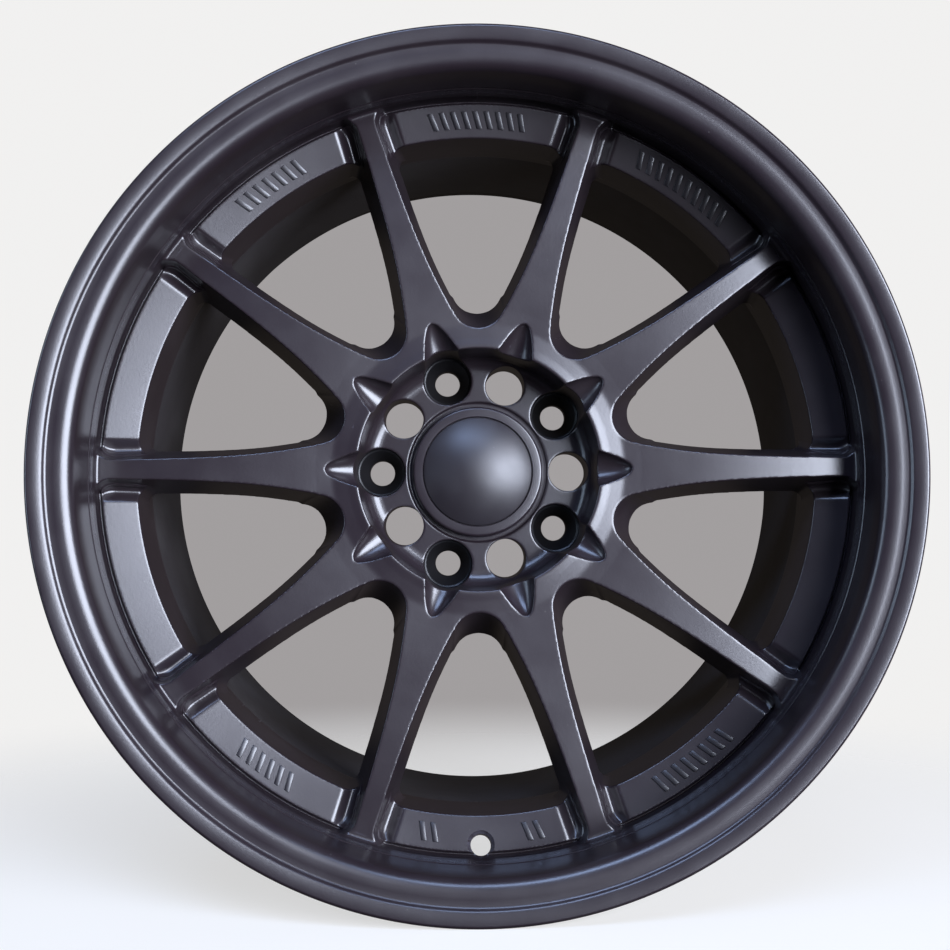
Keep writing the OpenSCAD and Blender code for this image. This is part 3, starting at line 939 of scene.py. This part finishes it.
class SkinGroups:
    """Builds the shared node groups once and hands them out."""

    def __init__(self) -> None:
        """Builds all of the groups."""
        self.groups = {
            Skin.SPRAYED: self.sprayed(),
            Skin.PAINTED_HIGHLIGHT: self.painted_edge_highlight(),
            Skin.DUSTED: self.dusted(),
        }

    def start(self, skin: Skin, takes: dict[str, object],
              gives: dict[str, str]) -> tuple[bpy.types.NodeTree, bpy.types.Node, bpy.types.Node]:
        """Makes an empty group with its sockets.

        Args:
            skin: which effect.
            takes: input name to its default; a tuple makes a colour, a number makes a value.
            gives: output name to its socket type.

        Returns:
            The tree, its input node and its output node.
        """
        tree = bpy.data.node_groups.new(skin.value, "ShaderNodeTree")
        for name, default in takes.items():
            kind = "NodeSocketColor" if isinstance(default, tuple) else "NodeSocketFloat"
            socket = tree.interface.new_socket(name=name, in_out="INPUT", socket_type=kind)
            socket.default_value = default
        for name, kind in gives.items():
            tree.interface.new_socket(name=name, in_out="OUTPUT", socket_type=kind)
        return tree, put(tree, "NodeGroupInput"), put(tree, "NodeGroupOutput")

    def sprayed(self) -> bpy.types.NodeTree:
        """Sprayed paint or moulded skin: cloudy colour, fine grain, orange peel and uneven gloss."""
        takes = {"Colour": (0.03, 0.03, 0.03, 1.0), "Second Colour": (0.02, 0.02, 0.02, 1.0), "Roughness": 0.4,
                 "Gloss Spread": 0.08, "Peel Size": 700.0, "Peel Strength": 0.1, "Grain": 0.2}
        gives = {"Colour": "NodeSocketColor", "Roughness": "NodeSocketFloat", "Normal": "NodeSocketVector"}
        tree, enter, leave = self.start(Skin.SPRAYED, takes, gives)
        where = put(tree, "TexCoord").outputs["Object"]
        clouds = steps_to(tree, noise(tree, where, 11.0, 3.0), 0.35, 0.65)
        colour = blend(tree, clouds, enter.outputs["Colour"], enter.outputs["Second Colour"])
        grain = steps_to(tree, noise(tree, where, 2600.0, 1.0), 0.3, 0.7, (-1.0, 1.0))
        lift = math_node(tree, "MULTIPLY_ADD", grain, enter.outputs["Grain"], 1.0)
        grained = put(tree, "VectorMath", {0: colour, "Scale": lift}, operation="SCALE").outputs[0]
        tree.links.new(grained, leave.inputs["Colour"])
        patches = steps_to(tree, noise(tree, where, 60.0, 4.0), 0.3, 0.7, (-1.0, 1.0))
        uneven = math_node(tree, "MULTIPLY", patches, enter.outputs["Gloss Spread"])
        tree.links.new(math_node(tree, "ADD", uneven, enter.outputs["Roughness"]), leave.inputs["Roughness"])
        peel = noise(tree, where, enter.outputs["Peel Size"], 2.0)
        bump = put(tree, "Bump", {"Height": peel, "Strength": enter.outputs["Peel Strength"], "Distance": 0.0002})
        tree.links.new(bump.outputs[0], leave.inputs["Normal"])
        return tree

    def painted_edge_highlight(self) -> bpy.types.NodeTree:
        """Painted highlight along the sharp edges: a lighter colour where the mesh is pointy, broken up by noise, with
        slightly lower roughness there.
        """
        takes = {"Colour": (0.03, 0.03, 0.03, 1.0), "Highlight Colour": (0.12, 0.12, 0.13, 1.0), "Roughness": 0.4,
                 "Start": 0.54, "End": 0.66, "Amount": 0.5}
        gives = {"Colour": "NodeSocketColor", "Roughness": "NodeSocketFloat"}
        tree, enter, leave = self.start(Skin.PAINTED_HIGHLIGHT, takes, gives)
        where = put(tree, "TexCoord").outputs["Object"]
        point = put(tree, "NewGeometry").outputs["Pointiness"]
        # Painted highlight: sharp edges, picked by pointiness, get a lighter colour in place of bright edge
        # reflections.
        edge = put(tree, "MapRange", {0: point, 1: enter.outputs["Start"], 2: enter.outputs["End"]}).outputs[0]
        broken = steps_to(tree, noise(tree, where, 160.0, 3.0), 0.3, 0.6, (0.35, 1.0))
        mask = math_node(tree, "MULTIPLY", math_node(tree, "MULTIPLY", edge, broken), enter.outputs["Amount"])
        colour = blend(tree, mask, enter.outputs["Colour"], enter.outputs["Highlight Colour"])
        tree.links.new(colour, leave.inputs["Colour"])
        edge_gloss = math_node(tree, "MULTIPLY", mask, -0.12)
        tree.links.new(math_node(tree, "ADD", edge_gloss, enter.outputs["Roughness"]), leave.inputs["Roughness"])
        return tree

    def dusted(self) -> bpy.types.NodeTree:
        """A thin film of dust with scattered specks."""
        takes = {"Colour": (0.03, 0.03, 0.03, 1.0), "Dust Colour": (0.34, 0.32, 0.3, 1.0), "Roughness": 0.4,
                 "Film": 0.01, "Specks": 0.3}
        gives = {"Colour": "NodeSocketColor", "Roughness": "NodeSocketFloat"}
        tree, enter, leave = self.start(Skin.DUSTED, takes, gives)
        where = put(tree, "TexCoord").outputs["Object"]
        drifts = steps_to(tree, noise(tree, where, 24.0, 4.0), 0.35, 0.7)
        film = math_node(tree, "MULTIPLY", drifts, enter.outputs["Film"])
        specks = put(tree, "TexVoronoi", {"Vector": where, "Scale": 190.0}).outputs["Distance"]
        dots = steps_to(tree, specks, 0.05, 0.09, (1.0, 0.0))
        sparse = steps_to(tree, noise(tree, where, 70.0, 1.0), 0.6, 0.66)
        specked = math_node(tree, "MULTIPLY", math_node(tree, "MULTIPLY", dots, sparse), enter.outputs["Specks"])
        mask = math_node(tree, "MAXIMUM", film, specked)
        tree.links.new(blend(tree, mask, enter.outputs["Colour"], enter.outputs["Dust Colour"]), leave.inputs["Colour"])
        duller = math_node(tree, "MULTIPLY", mask, 0.3)
        tree.links.new(math_node(tree, "ADD", duller, enter.outputs["Roughness"]), leave.inputs["Roughness"])
        return tree

    def place(self, tree: bpy.types.NodeTree, skin: Skin, wires: dict[str, object]) -> bpy.types.Node:
        """Places one of the groups in a material's tree."""
        return put(tree, "Group", wires, node_tree=self.groups[skin])


Colour = tuple[float, float, float, float]


def new_material(name: str) -> tuple[bpy.types.Material, bpy.types.Node]:
    """Makes a material and returns it with its Principled shader."""
    material = bpy.data.materials.new(name)
    material.use_nodes = True
    return material, material.node_tree.nodes["Principled BSDF"]


@dataclass(frozen=True)
class SprayFinish:
    """A sprayed or moulded satin skin with a painted highlight along its sharp edges and a trace of dust."""

    name: str
    colour: Colour
    second: Colour
    painted_edge_highlight: Colour
    roughness: float
    spread: float = 0.012
    peel_size: float = 650.0
    peel: float = 0.10
    grain: float = 0.12
    highlight_amount: float = 0.5
    film: float = 0.012
    specks: float = 0.12
    specular: float = 0.5

    def material(self, skins: SkinGroups) -> bpy.types.Material:
        """Builds the material."""
        material, shader = new_material(self.name)
        tree = material.node_tree
        paint = skins.place(tree, Skin.SPRAYED, {
            "Colour": self.colour, "Second Colour": self.second, "Roughness": self.roughness,
            "Gloss Spread": self.spread, "Peel Size": self.peel_size, "Peel Strength": self.peel, "Grain": self.grain})
        # Painted edge highlight: a lighter colour on the sharp edges.
        edges = skins.place(tree, Skin.PAINTED_HIGHLIGHT, {
            "Colour": paint.outputs["Colour"], "Highlight Colour": self.painted_edge_highlight, "Roughness": paint.outputs["Roughness"],
            "Amount": self.highlight_amount})
        dust = skins.place(tree, Skin.DUSTED, {
            "Colour": edges.outputs["Colour"], "Roughness": edges.outputs["Roughness"], "Film": self.film,
            "Specks": self.specks})
        tree.links.new(dust.outputs["Colour"], shader.inputs["Base Color"])
        tree.links.new(dust.outputs["Roughness"], shader.inputs["Roughness"])
        tree.links.new(paint.outputs["Normal"], shader.inputs["Normal"])
        shader.inputs["Specular IOR Level"].default_value = self.specular
        return material


@dataclass(frozen=True)
class DrawnWire:
    """Bright drawn spring wire, with draw lines that run round the ring."""

    name: str
    colour: Colour = (0.52, 0.51, 0.49, 1.0)
    second: Colour = (0.38, 0.37, 0.36, 1.0)
    roughness: float = 0.28
    lines: float = 3200.0

    def material(self, skins: SkinGroups) -> bpy.types.Material:
        """Builds the material."""
        material, shader = new_material(self.name)
        tree = material.node_tree
        where = put(tree, "SeparateXYZ", {0: put(tree, "TexCoord").outputs["Object"]})
        squares = [math_node(tree, "POWER", where.outputs[i], 2.0) for i in (0, 2)]
        out = math_node(tree, "SQRT", math_node(tree, "ADD", *squares), 0.0)
        across = put(tree, "CombineXYZ", {0: out, 1: where.outputs[1]}).outputs[0]
        drawn = noise(tree, across, self.lines, 2.0)
        colour = blend(tree, steps_to(tree, drawn, 0.35, 0.65), self.colour, self.second)
        dust = skins.place(tree, Skin.DUSTED, {"Colour": colour, "Roughness": self.roughness, "Film": 0.05})
        tree.links.new(dust.outputs["Colour"], shader.inputs["Base Color"])
        tree.links.new(dust.outputs["Roughness"], shader.inputs["Roughness"])
        bump = put(tree, "Bump", {"Height": drawn, "Strength": 0.25, "Distance": 0.00005})
        tree.links.new(bump.outputs[0], shader.inputs["Normal"])
        shader.inputs["Metallic"].default_value = 1.0
        return material


# Each finish's lighter edge colour and its amount paint a highlight on its sharp edges.
SATIN = SprayFinish(
    "satin_black_paint", colour=(0.0104, 0.0072, 0.0090, 1), second=(0.0094, 0.0064, 0.0082, 1),
    painted_edge_highlight=(0.046, 0.043, 0.052, 1), roughness=0.29)
BARREL = SprayFinish(
    "barrel_paint", colour=(0.0125, 0.0105, 0.0112, 1), second=(0.0100, 0.0084, 0.0090, 1),
    painted_edge_highlight=(0.03, 0.028, 0.03, 1), roughness=0.50, peel_size=480.0, peel=0.16, film=0.02, highlight_amount=0.3)
# Painted shade: a darker, less shiny copy of the satin paint for the lug pocket walls, where shade falls in the deep
# pocket.
POCKET_SHADE = SprayFinish(
    "lug_pocket_painted_shade", colour=(0.0040, 0.0037, 0.0042, 1), second=(0.0032, 0.0030, 0.0034, 1),
    painted_edge_highlight=(0.02, 0.02, 0.021, 1), roughness=0.40, peel=0.08, highlight_amount=0.3, film=0.003, specks=0.0, specular=0.3)
PAD = SprayFinish(
    "pad_bar_paint", colour=(0.0075, 0.0062, 0.0080, 1), second=(0.0062, 0.0052, 0.0066, 1),
    painted_edge_highlight=(0.06, 0.058, 0.066, 1), roughness=0.30, peel=0.06, highlight_amount=0.4)
PLASTIC = SprayFinish(
    "cap_plastic", colour=(0.0115, 0.0092, 0.0110, 1), second=(0.0102, 0.0082, 0.0098, 1),
    painted_edge_highlight=(0.03, 0.03, 0.034, 1), roughness=0.43, spread=0.03, peel_size=1900.0, peel=0.05, grain=0.06,
    highlight_amount=0.15, film=0.004, specks=0.05)
WIRE = DrawnWire("spring_wire")


# ---------------------------------------------------------------- studio


@dataclass
class Studio:
    """Camera, pale floor, soft lights and the pale surroundings, with a painted shadow behind the wheel."""

    floor_z: float
    eye: tuple[float, float, float] = (-0.0188, -0.7194, -0.0375)
    aim: tuple[float, float, float] = (0.0287, 0.9965, 0.0783)
    roll: float = math.radians(-0.30)
    lens: float = 44.55
    pale: Colour = (0.88, 0.875, 0.87, 1.0)
    # Painted shadow: the grey that camera rays see behind the wheel, in place of the wall's shade.
    shaded: Colour = (0.36, 0.343, 0.345, 1.0)
    wall: Colour = (0.060, 0.050, 0.044, 1.0)
    room: Colour = (0.010, 0.0080, 0.0095, 1.0)

    def camera(self) -> None:
        """Adds the camera."""
        ahead = Vector(self.aim).normalized()
        right = ahead.cross(Vector((0, 0, 1))).normalized()
        up = right.cross(ahead)
        side = right * math.cos(self.roll) + up * math.sin(self.roll)
        top = up * math.cos(self.roll) - right * math.sin(self.roll)
        bpy.ops.object.camera_add()
        obj = bpy.context.object
        obj.name = "camera"
        obj.matrix_world = Matrix([(side[i], top[i], -ahead[i], self.eye[i]) for i in range(3)] + [(0, 0, 0, 1)])
        obj.data.lens = self.lens
        obj.data.sensor_width = 36.0
        obj.data.shift_x, obj.data.shift_y = -0.0048, -0.0339
        obj.data.clip_start = 0.01
        bpy.context.scene.camera = obj

    def light(self, name: str, place: tuple[float, float, float], size: Point2, power: float,
              colour: tuple[float, float, float]) -> None:
        """Adds a soft rectangular light that faces the wheel."""
        bpy.ops.object.light_add(type="AREA", location=place)
        obj = bpy.context.object
        obj.name = name
        obj.rotation_euler = (-Vector(place)).to_track_quat("-Z", "Y").to_euler()
        obj.data.shape = "RECTANGLE"
        obj.data.size, obj.data.size_y = size
        obj.data.energy = power
        obj.data.color = colour

    def floor(self) -> None:
        """Adds the pale floor, which fades out far from the wheel."""
        clear_selection()
        bpy.ops.mesh.primitive_circle_add(vertices=96, radius=4.0, fill_type="NGON", location=(0, 0, self.floor_z))
        obj = bpy.context.object
        obj.name = "floor"
        material, shader = new_material("floor_card")
        tree = material.node_tree
        where = put(tree, "TexCoord").outputs["Object"]
        clouds = steps_to(tree, noise(tree, where, 3.0, 4.0), 0.3, 0.7)
        tone = blend(tree, clouds, (0.27, 0.265, 0.25, 1), (0.255, 0.25, 0.235, 1))
        tree.links.new(tone, shader.inputs["Base Color"])
        far = put(tree, "VectorMath", {0: where}, operation="LENGTH").outputs["Value"]
        tree.links.new(steps_to(tree, far, 0.22, 0.75, (1.0, 0.0)), shader.inputs["Alpha"])
        bump = put(tree, "Bump", {"Height": noise(tree, where, 400.0), "Strength": 0.05, "Distance": 0.0005})
        tree.links.new(bump.outputs[0], shader.inputs["Normal"])
        shader.inputs["Roughness"].default_value = 0.7
        shader.inputs["Emission Color"].default_value = (1.0, 0.995, 0.99, 1.0)
        shader.inputs["Emission Strength"].default_value = 0.62
        obj.data.materials.append(material)
        obj.visible_glossy = obj.visible_diffuse = False

    def surroundings(self) -> None:
        """Pale surroundings with a painted wall shadow: camera rays near the wheel's axis see a grey disc in place of
        the shade on the wall behind the wheel; other rays get a warm wall's worth of light from behind and a dim room
        in front.
        """
        world = bpy.data.worlds.new("studio")
        bpy.context.scene.world = world
        world.use_nodes = True
        tree = world.node_tree
        back = tree.nodes["Background"]
        where = put(tree, "TexCoord").outputs["Generated"]
        # Painted shadow: within about 20 degrees of the axis behind the wheel, camera rays see the shaded grey instead
        # of pale.
        ahead = Vector((0.0218, 0.9988, 0.0434)).normalized()
        near = put(tree, "VectorMath", {0: where, 1: ahead}, operation="DOT_PRODUCT").outputs["Value"]
        rim, core = math.cos(math.radians(20.5)), math.cos(math.radians(13.5))
        seen = blend(tree, steps_to(tree, near, rim, core), self.pale, self.shaded)
        behind = put(tree, "SeparateXYZ", {0: where}).outputs[1]
        lit = blend(tree, steps_to(tree, behind, -0.15, 0.75), self.room, self.wall)
        eye = put(tree, "LightPath").outputs["Is Camera Ray"]
        tree.links.new(blend(tree, eye, lit, seen), back.inputs["Color"])

    def build(self) -> None:
        """Builds all of it."""
        self.camera()
        self.light("key_right", (1.26, -1.70, 0.20), (1.6, 1.4), 210.0, (0.78, 0.84, 1.0))
        self.light("sky_top", (-0.25, -1.25, 1.28), (1.2, 0.5), 32.0, (0.46, 0.62, 1.0))
        self.light("window_left", (-1.8, -0.75, 0.35), (0.5, 1.3), 16.0, (0.60, 0.76, 1.0))
        self.floor()
        self.surroundings()
        bpy.context.scene.view_settings.view_transform = "Standard"


# ---------------------------------------------------------------- assembly


@dataclass
class Wheel:
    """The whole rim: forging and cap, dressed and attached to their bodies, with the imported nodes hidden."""

    skins: SkinGroups = field(default_factory=SkinGroups)

    def hand_over(self, piece: bpy.types.Object, body: str, nodes: Sequence[str], finish: bpy.types.Material) -> None:
        """Dresses a piece, attaches it to its body and hides the nodes that it stands for.

        Args:
            piece: the finished piece.
            body: the body that carries it.
            nodes: the nodes that it stands for.
            finish: its material.
        """
        if not piece.data.materials:
            piece.data.materials.append(finish)
        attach(piece, body)
        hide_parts(*nodes)
        LOG.info("%s: %d faces, stands for %s", piece.name, len(piece.data.polygons), ", ".join(nodes))

    def sectors(self) -> list[bpy.types.Object]:
        """The ten spoke sectors in order round the wheel."""
        masters = {hole: SpokeSector(hole).build("master_" + hole.value) for hole in HubHole}
        pieces = []
        for i in range(1, WHEEL.spokes + 1):
            hole = HubHole.LUG if i % 2 else HubHole.LIGHTENING
            pieces.append(turned_copy(masters[hole], "spoke_sector_%02d" % i, WHEEL.spoke_angle(i)))
        for master in masters.values():
            bpy.data.objects.remove(master, do_unlink=True)
        return pieces

    def paint_pocket_shade(self, sector: bpy.types.Object, paint: bpy.types.Material, dark: bpy.types.Material,
                   angle: float) -> None:
        """Gives the walls of the lug pocket their darker paint.

        Args:
            sector: the sector with the pocket.
            paint: the sector's own paint.
            dark: the pocket's painted shade.
            angle: the sector's angle.
        """
        sector.data.materials.append(paint)
        sector.data.materials.append(dark)
        centre = Vector((math.cos(angle), math.sin(angle))) * WHEEL.lug_circle * MM
        start, reach = WHEEL.y(SpokeSector.floor_depth + 0.4), (SpokeSector.pocket_r + 0.15) * MM
        for face in sector.data.polygons:
            if face.center.y > start and (face.center.xz - centre).length < reach:
                face.material_index = 1

    def build(self) -> None:
        """Builds every piece, dresses it and hands it over."""
        satin, barrel, seat, bars, plastic, wire = (
            finish.material(self.skins) for finish in (SATIN, BARREL, POCKET_SHADE, PAD, PLASTIC, WIRE))
        sectors = self.sectors()
        ValveHole().cut([sectors[0], sectors[-1]])
        for i, sector in enumerate(sectors, 1):
            if i % 2:
                # The lug pocket walls get painted shade.
                self.paint_pocket_shade(sector, satin, seat, WHEEL.spoke_angle(i))
            nodes = [name % i for name in ("spoke_%02d", "hub_%02d", "ledge_%02d")] + ["hub_plate"]
            self.hand_over(sector, "wheel", nodes, satin)
        rim = Rim()
        self.hand_over(rim.front(), "wheel", ["front_flange", "front_bead_seat"], satin)
        self.hand_over(rim.rear(), "wheel", ["barrel", "rear_bead_seat", "rear_flange"], barrel)
        self.hand_over(PadMarks().build(), "wheel", ["pad_marks"], bars)
        cap = CentreCap()
        self.hand_over(cap.collar(), "wheel", ["cap_boss"], satin)
        self.hand_over(cap.shell(), "cap", ["centre_cap"], plastic)
        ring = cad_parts["cap_spring_ring"]
        ring.data.materials.clear()
        ring.data.materials.append(wire)


def main() -> None:
    """Builds the studio and the wheel."""
    logging.basicConfig(level=logging.INFO, format="%(name)s: %(message)s")
    Studio(floor_z=CAD_BOX[0][2]).build()
    Wheel().build()


if __name__ == "__main__":
    main()
